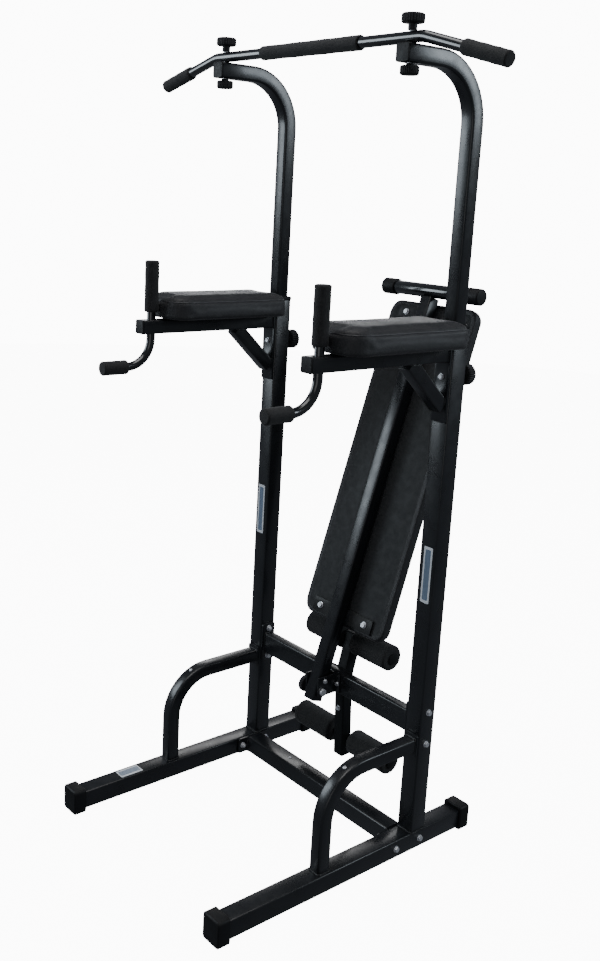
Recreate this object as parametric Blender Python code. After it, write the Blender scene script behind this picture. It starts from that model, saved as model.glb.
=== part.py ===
"""Power tower: a floor frame with dip armrests, a height-adjustable pull-up bar,
a fold-down sit-up bench and a leg-hook post with foam rollers.

Metres, +Z up, the front of the machine faces -Y, X runs left to right.
The origin is at floor level, centred under the whole machine."""

import math

import bmesh
import bpy
from mathutils import Matrix, Vector

for old in list(bpy.data.objects):
    bpy.data.objects.remove(old, do_unlink=True)

# ---------------------------------------------------------------- driving dimensions
GAP = 0.0003  # clearance between touching pieces
SHIFT_Y = 0.16425  # moves the upright plane back so that the origin is centred
HALF_SPAN = 0.325  # centre plane to each upright's axis

# base
FOOT_W = 0.051
FOOT_Z0 = 0.009
FOOT_Z1 = 0.059
FOOT_FRONT = -0.648
FOOT_BACK = 0.194
CAP_W = 0.062
CAP_H = 0.069
CAP_LEN = 0.037
CAP_OUT = 0.007
TUBE_R = 0.004
BASE_BAR_Y = -0.036
BASE_BAR_W = 0.050
FLANGE_T = 0.005
FLANGE_LEN = 0.118
FLANGE_W = 0.046
PLATE_R = 0.006  # corners of flanges and end plates
PLUG_T = 0.004  # plastic end plugs

# uprights
POST_W = 0.051
UPRIGHT_TOP = 1.378
BORE_W = 0.0444
BORE_DEPTH = 0.430
SLEEVE_IN = 0.0398
SLEEVE_LIP = 0.055
SLEEVE_LIP_H = 0.010
SLEEVE_DEPTH = 0.060
LOCK_Z = 1.265
LOCK_BOSS_D = 0.020
LOCK_BOSS_H = 0.006
LOCK_HOLE_D = 0.0106
LOCK_SCREW_D = 0.010

# middle crossbar
MID_Z = 0.354
MID_H = 0.060
MID_D = 0.030

# handrails
RAIL_W = 0.038
RAIL_Z = 0.309
RAIL_Y = -0.325
RAIL_R = 0.120
RAIL_CORNER = 0.007
RAIL_PLATE_H = 0.060

# telescoping upper frame
NECK_W = 0.039
NECK_BOTTOM = 1.070
NECK_Z = 1.969
NECK_R = 0.131
NECK_FRONT = -0.240
NECK_HOLES = 4  # height positions
NECK_HOLE_PITCH = 0.050
NECK_HOLE_D = 0.0110
NECK_HOLE_DEPTH = 0.008
BAR_D = 0.025
BAR_Y = -0.215
BAR_STRAIGHT = 0.361
BAR_END_X = 0.584
BAR_END_DROP = 0.059
BAR_FOAM_D = 0.034
BAR_FOAM_HALF = 0.172
END_FOAM_LEN = 0.116
STUD_D = 0.012
KNOB_D = 0.053
KNOB_T = 0.020
LOW_KNOB_D = 0.044

# dip armrests
ARM_W = 0.036
ARM_Z = 1.3195
ARM_FRONT = -0.460
ARM_PLATE_Z = (1.155, 1.338)
BRACE_W = 0.036
BRACE_ARM = (-0.151, 1.304)
BRACE_POST = (-0.037, 1.198)
PAD_X = 0.082
PAD_Y = (-0.404, -0.031)
PAD_T = 0.060
PAD_CORNER_BACK = 0.018
PAD_CORNER_FRONT = 0.052
PAD_SUPPORT_HALF = 0.045
PAD_SUPPORT_T = 0.003
HANDLE_D = 0.0225
HANDLE_Y = -0.425
HANDLE_R = 0.070
HANDLE_TOP = 1.480
HANDLE_LOW = 1.218
HANDLE_TIP = -0.566
GRIP_D = 0.037
GRIP_Z = (1.357, 1.486)
DIP_FOAM_BACK = -0.497

# fold-down bench
LEAN = math.radians(17.5)
PIVOT_Y = -0.069
PIVOT_Z = 0.340
BENCH_W = 0.038
BENCH_TAIL = 0.030
TBAR_AT = 1.141
TBAR_D = 0.038
TBAR_HALF = 0.150
TCAP_D = 0.045
TCAP_HALF = 0.175
TCAP_GRIP = 0.022  # how far a cap reaches over the bar
BENCH_PAD_AT = (0.182, 1.113)
BENCH_PAD_X = 0.158
BENCH_PAD_T = 0.042
BENCH_PLATE_T = 0.005
BENCH_PLATE_X = 0.115
BENCH_PLATE_HALF = 0.020
BENCH_PAD_CORNER = 0.034
BENCH_BOLT_AT = (0.215, 1.078)
EAR_T = 0.005
EAR_CLEAR = 0.002  # each side of the bench tube
BRACKET_T = 0.004
BRACKET_WING = 0.015
EAR_FRONT = -0.084
EAR_Z = (0.326, 0.382)
PIVOT_D = 0.012
PIVOT_HEAD_D = 0.020
PIVOT_HEAD_T = 0.008

# leg-hook post and rollers
HOOK_W = 0.036
HOOK_LOW = (0.0505, 0.111)
HOOK_MID = ((0.0385, 0.345), (0.0425, 0.372))
HOOK_TOP = (0.0675, 0.474)
UPPER_AXLE = (0.059, 0.457)
LOWER_AXLE = (0.057, 0.159)
AXLE_D = 0.016
ROLLER_D = 0.072
ROLLER_BORE = 0.0168
UPPER_HALF = 0.163
LOWER_HALF = 0.187
UPPER_IN = 0.0225
LOWER_IN = 0.040
AXLE_HEAD_D = 0.030
AXLE_HEAD_T = 0.004
HOOK_PLATE = (0.034, 0.026)  # half width, half height

SEG = 24  # sides of a round bar

# ---------------------------------------------------------------- materials


def material(name, color, metallic, roughness):
    mat = bpy.data.materials.new(name)
    mat.use_nodes = True
    shader = mat.node_tree.nodes["Principled BSDF"]
    shader.inputs["Base Color"].default_value = (*color, 1.0)
    shader.inputs["Metallic"].default_value = metallic
    shader.inputs["Roughness"].default_value = roughness
    mat.diffuse_color = (*color, 1.0)
    return mat


PAINT = material("black_paint", (0.012, 0.012, 0.014), 0.0, 0.35)
PLASTIC = material("black_plastic", (0.015, 0.015, 0.016), 0.0, 0.5)
FOAM = material("foam", (0.02, 0.02, 0.021), 0.0, 0.9)
VINYL = material("vinyl", (0.02, 0.02, 0.022), 0.0, 0.55)
ZINC = material("zinc", (0.6, 0.6, 0.62), 1.0, 0.35)

# ---------------------------------------------------------------- mesh helpers


def make(name, bm, mat):
    """Adds the mesh as one object with one material."""
    bmesh.ops.translate(bm, verts=bm.verts, vec=(0, SHIFT_Y, 0))
    bmesh.ops.recalc_face_normals(bm, faces=bm.faces)
    mesh = bpy.data.meshes.new(name)
    bm.to_mesh(mesh)
    bm.free()
    obj = bpy.data.objects.new(name, mesh)
    bpy.context.scene.collection.objects.link(obj)
    mesh.materials.append(mat)
    return obj


def cutter(name, bm):
    """A tool body for a Boolean, never exported."""
    obj = make(name, bm, PAINT)
    obj.hide_render = True
    obj.display_type = "WIRE"
    return obj


def boolean(target, operation, tool):
    mod = target.modifiers.new(operation.lower(), "BOOLEAN")
    mod.operation = operation
    mod.solver = "EXACT"
    mod.object = tool


def rect(w, h, r, steps=3):
    """A rounded rectangle, counter-clockwise."""
    points = []
    corners = ((1, 1, 0), (-1, 1, 90), (-1, -1, 180), (1, -1, 270))
    for sx, sy, start in corners:
        cx = sx * (w / 2 - r)
        cy = sy * (h / 2 - r)
        for i in range(steps + 1):
            a = math.radians(start + 90 * i / steps)
            points.append((cx + r * math.cos(a), cy + r * math.sin(a)))
    return points


def disc(d, seg=SEG):
    angles = [2 * math.pi * i / seg for i in range(seg)]
    return [(d / 2 * math.cos(a), d / 2 * math.sin(a)) for a in angles]


def scaled(outline, factor):
    return [(x * factor, y * factor) for x, y in outline]


def inset(outline, amount):
    """Shrinks a convex outline toward its centre by roughly this amount."""
    half_w = max(x for x, _ in outline)
    half_h = max(y for _, y in outline)
    fx = (half_w - amount) / half_w
    fy = (half_h - amount) / half_h
    return [(x * fx, y * fy) for x, y in outline]


def loft(bm, rings):
    """Joins rings of 3-D points in order and closes both ends."""
    made = [[bm.verts.new(p) for p in ring] for ring in rings]
    count = len(made[0])
    for a, b in zip(made, made[1:]):
        for i in range(count):
            j = (i + 1) % count
            bm.faces.new((a[i], a[j], b[j], b[i]))
    bm.faces.new(list(reversed(made[0])))
    bm.faces.new(made[-1])
    return bm


def placed(outline, origin, u, v):
    """A 2-D outline set in space at origin with axes u and v."""
    return [origin + u * x + v * y for x, y in outline]


def straight(outline, a, b, side, chamfer=0.0):
    """Rings for a bar from a to b; side is the direction of the outline's x."""
    a = Vector(a)
    b = Vector(b)
    run = (b - a).normalized()
    u = Vector(side).normalized()
    v = run.cross(u)
    if chamfer <= 0:
        return [placed(outline, a, u, v), placed(outline, b, u, v)]
    small = inset(outline, chamfer)
    return [
        placed(small, a, u, v),
        placed(outline, a + run * chamfer, u, v),
        placed(outline, b - run * chamfer, u, v),
        placed(small, b, u, v),
    ]


def bar(outline, a, b, side=(1, 0, 0), chamfer=0.0):
    return loft(bmesh.new(), straight(outline, a, b, side, chamfer))


def swept(outline, path, side):
    """Sweeps an outline along a planar path whose plane is normal to side."""
    points = [Vector(p) for p in path]
    u = Vector(side).normalized()
    rings = []
    for i, p in enumerate(points):
        before = points[max(i - 1, 0)]
        after = points[min(i + 1, len(points) - 1)]
        run = (after - before).normalized()
        stretch = 1.0
        if 0 < i < len(points) - 1:
            bend = (p - before).normalized().dot(run)
            stretch = 1.0 / max(bend, 0.5)
        v = run.cross(u) * stretch
        rings.append(placed(outline, p, u, v))
    return loft(bmesh.new(), rings)


def arc_yz(x, cy, cz, radius, start, end, steps):
    """Points on an arc in a plane of constant x; angles from +Y toward +Z."""
    points = []
    for i in range(steps + 1):
        a = math.radians(start + (end - start) * i / steps)
        points.append((x, cy + radius * math.cos(a), cz + radius * math.sin(a)))
    return points


def box(x0, x1, y0, y1, z0, z1):
    corners = [(x0, y0), (x1, y0), (x1, y1), (x0, y1)]
    low = [Vector((x, y, z0)) for x, y in corners]
    high = [Vector((x, y, z1)) for x, y in corners]
    return loft(bmesh.new(), [low, high])


def slab(outline, cx, cy, z0, z1, edge):
    """A flat slab of the given outline with eased top and bottom edges."""
    small = inset(outline, edge)
    levels = [(z0, small), (z0 + edge, outline), (z1 - edge, outline), (z1, small)]
    rings = []
    for z, shape in levels:
        rings.append([Vector((cx + x, cy + y, z)) for x, y in shape])
    return loft(bmesh.new(), rings)


def pad_outline(w, length, r_back, r_front, steps=5):
    """A pad seen from above: small corner radius at +Y, large at -Y."""
    points = []
    corners = ((1, 1, 0, r_back), (-1, 1, 90, r_back), (-1, -1, 180, r_front), (1, -1, 270, r_front))
    for sx, sy, start, r in corners:
        cx = sx * (w / 2 - r)
        cy = sy * (length / 2 - r)
        for i in range(steps + 1):
            a = math.radians(start + 90 * i / steps)
            points.append((cx + r * math.cos(a), cy + r * math.sin(a)))
    return points


def lathe(profile, origin, axis, seg=SEG):
    """Turns (radius, height) pairs about an axis; a profile off the axis makes a ring."""
    origin = Vector(origin)
    axis = Vector(axis).normalized()
    other = Vector((0, 0, 1)) if abs(axis.z) < 0.5 else Vector((1, 0, 0))
    u = other.cross(axis).normalized()
    v = axis.cross(u)
    bm = bmesh.new()
    rings = []
    for radius, height in profile:
        ring = []
        for i in range(seg):
            a = 2 * math.pi * i / seg
            spoke = u * math.cos(a) + v * math.sin(a)
            ring.append(bm.verts.new(origin + axis * height + spoke * radius))
        rings.append(ring)
    pairs = list(zip(rings, rings[1:] + rings[:1]))
    for a, b in pairs:
        for i in range(seg):
            j = (i + 1) % seg
            bm.faces.new((a[i], a[j], b[j], b[i]))
    return bm


def ring_body(outer_d, inner_d, a, b, chamfer=0.0, seg=SEG):
    """A round sleeve from point a to point b."""
    a = Vector(a)
    b = Vector(b)
    length = (b - a).length
    ro = outer_d / 2
    ri = inner_d / 2
    profile = [(ri, 0), (ro - chamfer, 0)]
    if chamfer > 0:
        profile += [(ro, chamfer), (ro, length - chamfer)]
    profile += [(ro - chamfer, length), (ri, length)]
    return lathe(profile, a, b - a, seg)


def turned(steps, origin, axis, seg=SEG):
    """A solid of revolution from (diameter, height) steps, capped at both ends."""
    origin = Vector(origin)
    axis = Vector(axis).normalized()
    other = Vector((0, 0, 1)) if abs(axis.z) < 0.5 else Vector((1, 0, 0))
    u = other.cross(axis).normalized()
    v = axis.cross(u)
    rings = []
    for d, height in steps:
        rings.append(placed(disc(d, seg), origin + axis * height, u, v))
    return loft(bmesh.new(), rings)


def fluted(d, depth, lobes, per):
    """The outline of a knob with shallow grip flutes."""
    points = []
    for i in range(lobes * per):
        a = 2 * math.pi * i / (lobes * per)
        r = d / 2 - depth * (0.5 - 0.5 * math.cos(lobes * a))
        points.append((r * math.cos(a), r * math.sin(a)))
    return points


def knob(origin, axis, d, thick, neck_d, neck, lobes=10, shaft=0.0, shaft_d=0.0):
    """A round grip knob: shaft, neck, then a fluted head; origin is the neck's foot."""
    origin = Vector(origin)
    axis = Vector(axis).normalized()
    other = Vector((0, 0, 1)) if abs(axis.z) < 0.5 else Vector((1, 0, 0))
    u = other.cross(axis).normalized()
    v = axis.cross(u)
    per = 3
    shape = fluted(d, 0.0022, lobes, per)
    count = lobes * per
    rings = []
    if shaft > 0:
        rings.append(placed(disc(shaft_d, count), origin - axis * shaft, u, v))
        rings.append(placed(disc(shaft_d, count), origin, u, v))
    rings.append(placed(disc(neck_d, count), origin, u, v))
    rings.append(placed(disc(neck_d, count), origin + axis * neck, u, v))
    rings.append(placed(scaled(shape, 0.90), origin + axis * neck, u, v))
    rings.append(placed(shape, origin + axis * (neck + 0.003), u, v))
    rings.append(placed(shape, origin + axis * (neck + thick - 0.004), u, v))
    rings.append(placed(scaled(shape, 0.88), origin + axis * (neck + thick), u, v))
    return loft(bmesh.new(), rings)


def rotated(bm, origin, angle):
    """Turns a mesh about an X-parallel line through origin."""
    spin = Matrix.Rotation(angle, 4, "X")
    bmesh.ops.rotate(bm, verts=bm.verts, cent=Vector(origin), matrix=spin.to_3x3())
    return bm


# ---------------------------------------------------------------- base frame


def build_foot(tag, x):
    outline = rect(FOOT_W, FOOT_Z1 - FOOT_Z0, TUBE_R)
    z = (FOOT_Z0 + FOOT_Z1) / 2
    make(f"foot_{tag}", bar(outline, (x, FOOT_FRONT, z), (x, FOOT_BACK, z)), PAINT)
    build_foot_cap(f"foot_cap_front_{tag}", x, FOOT_FRONT, -1)
    build_foot_cap(f"foot_cap_back_{tag}", x, FOOT_BACK, 1)


def build_foot_cap(name, x, tube_end, sign):
    z_mid = (FOOT_Z0 + FOOT_Z1) / 2
    outline = rect(CAP_W, CAP_H, 0.008)
    a = (x, tube_end + sign * CAP_OUT, CAP_H / 2)
    b = (x, tube_end + sign * (CAP_OUT - CAP_LEN), CAP_H / 2)
    cap = make(name, bar(outline, a, b, (1, 0, 0), 0.003), PLASTIC)
    pocket_outline = rect(FOOT_W + 2 * GAP, FOOT_Z1 - FOOT_Z0 + 2 * GAP, TUBE_R)
    inner = (x, tube_end + sign * GAP, z_mid)
    outer = (x, tube_end - sign * 0.06, z_mid)
    boolean(cap, "DIFFERENCE", cutter(f"cut_{name}", bar(pocket_outline, inner, outer)))


def build_base_bar():
    x_end = HALF_SPAN - FOOT_W / 2 - GAP
    z = (FOOT_Z0 + FOOT_Z1) / 2
    outline = rect(BASE_BAR_W, BASE_BAR_W, TUBE_R)
    a = (-x_end + FLANGE_T / 2, BASE_BAR_Y, z)
    b = (x_end - FLANGE_T / 2, BASE_BAR_Y, z)
    main = make("base_crossbar", bar(outline, a, b, (0, 1, 0)), PAINT)
    for sign, tag in ((-1, "left"), (1, "right")):
        plate = rect(FLANGE_LEN, FLANGE_W, PLATE_R)
        outer = (sign * x_end, BASE_BAR_Y, z)
        inner = (sign * (x_end - FLANGE_T), BASE_BAR_Y, z)
        tool = cutter(f"base_flange_{tag}", bar(plate, outer, inner, (0, 1, 0)))
        boolean(main, "UNION", tool)


def build_mid_bar():
    x_end = HALF_SPAN - POST_W / 2 - GAP
    outline = rect(MID_D, MID_H, TUBE_R)
    a = (-x_end + FLANGE_T / 2, 0, MID_Z)
    b = (x_end - FLANGE_T / 2, 0, MID_Z)
    main = make("mid_crossbar", bar(outline, a, b, (0, 1, 0)), PAINT)
    for sign, tag in ((-1, "left"), (1, "right")):
        plate = rect(FLANGE_W, FLANGE_LEN, PLATE_R)
        outer = (sign * x_end, 0, MID_Z)
        inner = (sign * (x_end - FLANGE_T), 0, MID_Z)
        tool = cutter(f"mid_flange_{tag}", bar(plate, outer, inner, (0, 1, 0)))
        boolean(main, "UNION", tool)


def build_bench_bracket():
    """U bracket on the front of the middle crossbar, carrying the bench pivot."""
    half = BENCH_W / 2 + EAR_CLEAR
    back = -MID_D / 2 - GAP
    wide = half + EAR_T + BRACKET_WING
    base = make("bench_bracket", box(-wide, wide, back - BRACKET_T, back, EAR_Z[0], EAR_Z[1]), PAINT)
    for sign, tag in ((-1, "left"), (1, "right")):
        x0 = sign * half
        x1 = sign * (half + EAR_T)
        ear = box(min(x0, x1), max(x0, x1), EAR_FRONT, back - 0.001, *EAR_Z)
        boolean(base, "UNION", cutter(f"ear_{tag}", ear))
    hole_d = PIVOT_D + 2 * GAP
    hole = turned([(hole_d, 0), (hole_d, 0.10)], (-0.05, PIVOT_Y, PIVOT_Z), (1, 0, 0), 24)
    boolean(base, "DIFFERENCE", cutter("bracket_pivot_hole", hole))


def build_upright(tag, x):
    outline = rect(POST_W, POST_W, TUBE_R)
    bottom = FOOT_Z1 + GAP
    body = make(f"upright_{tag}", bar(outline, (x, 0, bottom), (x, 0, UPRIGHT_TOP)), PAINT)
    steps = [(LOCK_BOSS_D, 0), (LOCK_BOSS_D, LOCK_BOSS_H + 0.001)]
    boss = turned(steps, (x, POST_W / 2 - 0.001, LOCK_Z), (0, 1, 0), 24)
    boolean(body, "UNION", cutter(f"lock_boss_{tag}", boss))
    bore = rect(BORE_W, BORE_W, 0.004)
    top = (x, 0, UPRIGHT_TOP + 0.01)
    low = (x, 0, UPRIGHT_TOP - BORE_DEPTH)
    boolean(body, "DIFFERENCE", cutter(f"bore_{tag}", bar(bore, low, top)))
    hole = turned([(LOCK_HOLE_D, 0), (LOCK_HOLE_D, 0.04)], (x, 0.012, LOCK_Z), (0, 1, 0), 24)
    boolean(body, "DIFFERENCE", cutter(f"lock_hole_{tag}", hole))
    build_sleeve(tag, x)


def build_sleeve(tag, x):
    lip = rect(SLEEVE_LIP, SLEEVE_LIP, 0.006)
    z0 = UPRIGHT_TOP + GAP
    body = make(f"sleeve_{tag}", bar(lip, (x, 0, z0), (x, 0, z0 + SLEEVE_LIP_H), (1, 0, 0), 0.002), PLASTIC)
    inner = BORE_W - 2 * GAP
    stem = rect(inner, inner, 0.004)
    low = UPRIGHT_TOP - SLEEVE_DEPTH
    boolean(body, "UNION", cutter(f"sleeve_stem_{tag}", bar(stem, (x, 0, low), (x, 0, z0 + 0.004))))
    hole = rect(SLEEVE_IN, SLEEVE_IN, 0.005)
    through = bar(hole, (x, 0, low - 0.01), (x, 0, z0 + 0.03))
    boolean(body, "DIFFERENCE", cutter(f"sleeve_hole_{tag}", through))


def build_handrail(tag, x):
    start = -POST_W / 2 - GAP
    path = [(x, start, RAIL_Z)]
    path += arc_yz(x, RAIL_Y + RAIL_R, RAIL_Z - RAIL_R, RAIL_R, 90, 180, 10)
    path += [(x, RAIL_Y, FOOT_Z1 + GAP)]
    outline = rect(RAIL_W, RAIL_W, RAIL_CORNER)
    rail = make(f"handrail_{tag}", swept(outline, path, (1, 0, 0)), PAINT)
    plate = rect(FLANGE_W, RAIL_PLATE_H, PLATE_R)
    a = (x, start, RAIL_Z)
    b = (x, start - FLANGE_T, RAIL_Z)
    boolean(rail, "UNION", cutter(f"rail_plate_{tag}", bar(plate, a, b)))


def build_lock_knob(tag, x):
    shaft_tip = NECK_W / 2 + GAP
    foot = POST_W / 2 + LOCK_BOSS_H + 0.002
    body = knob((x, foot, LOCK_Z), (0, 1, 0), KNOB_D, 0.024, 0.022, 0.009,
                shaft=foot - shaft_tip, shaft_d=LOCK_SCREW_D)
    make(f"height_knob_{tag}", body, PLASTIC)


# ---------------------------------------------------------------- telescoping upper frame


def build_gooseneck(tag, x):
    path = [(x, 0, NECK_BOTTOM)]
    path += arc_yz(x, -NECK_R, NECK_Z - NECK_R, NECK_R, 0, 90, 12)
    path += [(x, NECK_FRONT + 0.003, NECK_Z)]
    outline = rect(NECK_W, NECK_W, 0.006)
    body = make(f"gooseneck_{tag}", swept(outline, path, (1, 0, 0)), PAINT)
    hole_d = STUD_D + 2 * GAP
    hole = turned([(hole_d, 0), (hole_d, 0.08)], (x, BAR_Y, NECK_Z - 0.04), (0, 0, 1), 24)
    boolean(body, "DIFFERENCE", cutter(f"stud_hole_{tag}", hole))
    for i in range(NECK_HOLES):
        at = (x, NECK_W / 2 - NECK_HOLE_DEPTH, LOCK_Z - i * NECK_HOLE_PITCH)
        steps = [(NECK_HOLE_D, 0), (NECK_HOLE_D, 2 * NECK_HOLE_DEPTH)]
        boolean(body, "DIFFERENCE", cutter(f"height_hole_{tag}_{i}", turned(steps, at, (0, 1, 0), 16)))
    front = (x, NECK_FRONT + 0.003 - PLUG_T, NECK_Z)
    plug = bar(outline, front, (x, NECK_FRONT + 0.003 - GAP, NECK_Z), (1, 0, 0), 0.001)
    make(f"gooseneck_plug_{tag}", plug, PLASTIC)


def bar_axis():
    """Centre line of the pull-up bar: level in the middle, ends turned down."""
    z = NECK_Z + NECK_W / 2 + GAP + BAR_D / 2
    slope = math.atan2(BAR_END_DROP, BAR_END_X - BAR_STRAIGHT)
    bend = 0.090
    half = []
    for i in range(5):
        a = slope * i / 4
        x = BAR_STRAIGHT - bend * math.tan(slope / 2) + bend * math.sin(a)
        half.append((x, BAR_Y, z - bend * (1 - math.cos(a))))
    half.append((BAR_END_X, BAR_Y, z - BAR_END_DROP))
    left = [(-x, y, zz) for x, y, zz in reversed(half)]
    return left + half, slope


def build_pullup_bar():
    path, slope = bar_axis()
    body = make("pullup_bar", swept(disc(BAR_D), path, (0, 1, 0)), PAINT)
    z = path[len(path) // 2][2]
    hole_d = STUD_D + 2 * GAP
    for sign, tag in ((-1, "left"), (1, "right")):
        hole = turned([(hole_d, 0), (hole_d, 0.06)], (sign * HALF_SPAN, BAR_Y, z - 0.03), (0, 0, 1), 24)
        boolean(body, "DIFFERENCE", cutter(f"bar_hole_{tag}", hole))
    foam = ring_body(BAR_FOAM_D, BAR_D + 2 * GAP, (-BAR_FOAM_HALF, BAR_Y, z), (BAR_FOAM_HALF, BAR_Y, z), 0.003)
    make("bar_foam_centre", foam, FOAM)
    for sign, tag in ((-1, "left"), (1, "right")):
        tip = Vector((sign * BAR_END_X, BAR_Y, z - BAR_END_DROP))
        run = Vector((sign * math.cos(slope), 0, -math.sin(slope)))
        start = tip - run * END_FOAM_LEN
        build_end_foam(f"bar_foam_{tag}", start, tip, run, BAR_FOAM_D, BAR_D)


def build_end_foam(name, start, tip, run, outer_d, inner_d):
    """A closed-end foam grip over the end of a round tube."""
    length = (tip - start).length
    solid = turned([(outer_d - 0.004, 0), (outer_d, 0.002), (outer_d, length + 0.004),
                    (outer_d - 0.006, length + 0.008)], start, run)
    foam = make(name, solid, FOAM)
    d = inner_d + 2 * GAP
    bore = turned([(d, 0), (d, length + GAP + 0.02)], start - run * 0.02, run)
    boolean(foam, "DIFFERENCE", cutter(f"cut_{name}", bore))


def build_clamp(tag, x):
    bar_top = NECK_Z + NECK_W / 2 + GAP + BAR_D
    arm_low = NECK_Z - NECK_W / 2
    stud_top = bar_top + 0.012
    stud_low = arm_low - 0.016
    steps = [(STUD_D, 0), (STUD_D, stud_top - stud_low)]
    make(f"clamp_stud_{tag}", turned(steps, (x, BAR_Y, stud_low), (0, 0, 1), 24), ZINC)
    top = knob((x, BAR_Y, bar_top + 0.001), (0, 0, 1), KNOB_D, KNOB_T, 0.020, 0.014)
    add_blind_hole(f"clamp_knob_top_{tag}", top, (x, BAR_Y, bar_top - 0.005), 0.005 + 0.0125)
    low = knob((x, BAR_Y, arm_low - 0.001), (0, 0, -1), LOW_KNOB_D, KNOB_T, 0.018, 0.004)
    add_blind_hole(f"clamp_knob_low_{tag}", low, (x, BAR_Y, stud_low - 0.0004), 0.03)


def add_blind_hole(name, bm, origin, depth):
    body = make(name, bm, PLASTIC)
    d = STUD_D + 2 * GAP
    hole = turned([(d, 0), (d, depth)], origin, (0, 0, 1), 24)
    boolean(body, "DIFFERENCE", cutter(f"cut_{name}", hole))


# ---------------------------------------------------------------- dip armrests


def build_armrest(tag, x):
    outline = rect(ARM_W, ARM_W, TUBE_R)
    face = -POST_W / 2 - GAP
    a = (x, ARM_FRONT + 0.003, ARM_Z)
    body = make(f"armrest_frame_{tag}", bar(outline, a, (x, face - 0.002, ARM_Z)), PAINT)
    z0, z1 = ARM_PLATE_Z
    plate = rect(FLANGE_W, z1 - z0, TUBE_R)
    mid = (z0 + z1) / 2
    tool = bar(plate, (x, face, mid), (x, face - FLANGE_T, mid))
    boolean(body, "UNION", cutter(f"arm_plate_{tag}", tool))
    brace = rect(BRACE_W, BRACE_W, TUBE_R)
    low = (x, BRACE_POST[0] + 0.003, BRACE_POST[1] - 0.003)
    high = (x, BRACE_ARM[0], BRACE_ARM[1])
    run = bar(brace, low, high)
    tool = cutter(f"brace_{tag}", run)
    keep = box(x - 0.1, x + 0.1, face - 0.3, face - 0.001, 1.0, ARM_Z)
    boolean(tool, "INTERSECT", cutter(f"brace_trim_{tag}", keep))
    boolean(body, "UNION", tool)
    top = ARM_Z + ARM_W / 2
    left = x - PAD_SUPPORT_HALF
    right = x + PAD_SUPPORT_HALF
    support = box(left, right, PAD_Y[0] + 0.040, PAD_Y[1] - 0.030, top - 0.001, top + PAD_SUPPORT_T)
    boolean(body, "UNION", cutter(f"pad_plate_{tag}", support))
    d = HANDLE_D + 2 * GAP
    hole = turned([(d, 0), (d, 0.08)], (x, HANDLE_Y, ARM_Z - 0.04), (0, 0, 1))
    boolean(body, "DIFFERENCE", cutter(f"handle_hole_{tag}", hole))
    plug_outline = rect(ARM_W, ARM_W, TUBE_R)
    b = (x, ARM_FRONT + 0.003 - GAP, ARM_Z)
    plug = bar(plug_outline, (x, ARM_FRONT + 0.003 - PLUG_T, ARM_Z), b, (1, 0, 0), 0.001)
    make(f"armrest_plug_{tag}", plug, PLASTIC)
    z = top + PAD_SUPPORT_T + GAP
    shape = pad_outline(2 * PAD_X, PAD_Y[1] - PAD_Y[0], PAD_CORNER_BACK, PAD_CORNER_FRONT)
    pad = slab(shape, x, (PAD_Y[0] + PAD_Y[1]) / 2, z, z + PAD_T, 0.010)
    make(f"armrest_pad_{tag}", pad, VINYL)
    build_handle(tag, x)


def build_handle(tag, x):
    path = [(x, HANDLE_Y, HANDLE_TOP), (x, HANDLE_Y, HANDLE_LOW + HANDLE_R)]
    path += arc_yz(x, HANDLE_Y - HANDLE_R, HANDLE_LOW + HANDLE_R, HANDLE_R, 0, -90, 10)[1:]
    path += [(x, HANDLE_TIP + 0.004, HANDLE_LOW)]
    make(f"handle_{tag}", swept(disc(HANDLE_D), path, (1, 0, 0)), PAINT)
    low = Vector((x, HANDLE_Y, GRIP_Z[0]))
    high = Vector((x, HANDLE_Y, HANDLE_TOP))
    build_end_foam(f"grip_foam_{tag}", low, high, Vector((0, 0, 1)), GRIP_D, HANDLE_D)
    back = Vector((x, DIP_FOAM_BACK, HANDLE_LOW))
    tip = Vector((x, HANDLE_TIP + 0.004, HANDLE_LOW))
    build_end_foam(f"dip_foam_{tag}", back, tip, Vector((0, -1, 0)), GRIP_D, HANDLE_D)


# ---------------------------------------------------------------- fold-down bench
# Built upright about the pivot, then leaned back.


def lean(bm):
    return rotated(bm, (0, PIVOT_Y, PIVOT_Z), -LEAN)


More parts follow.
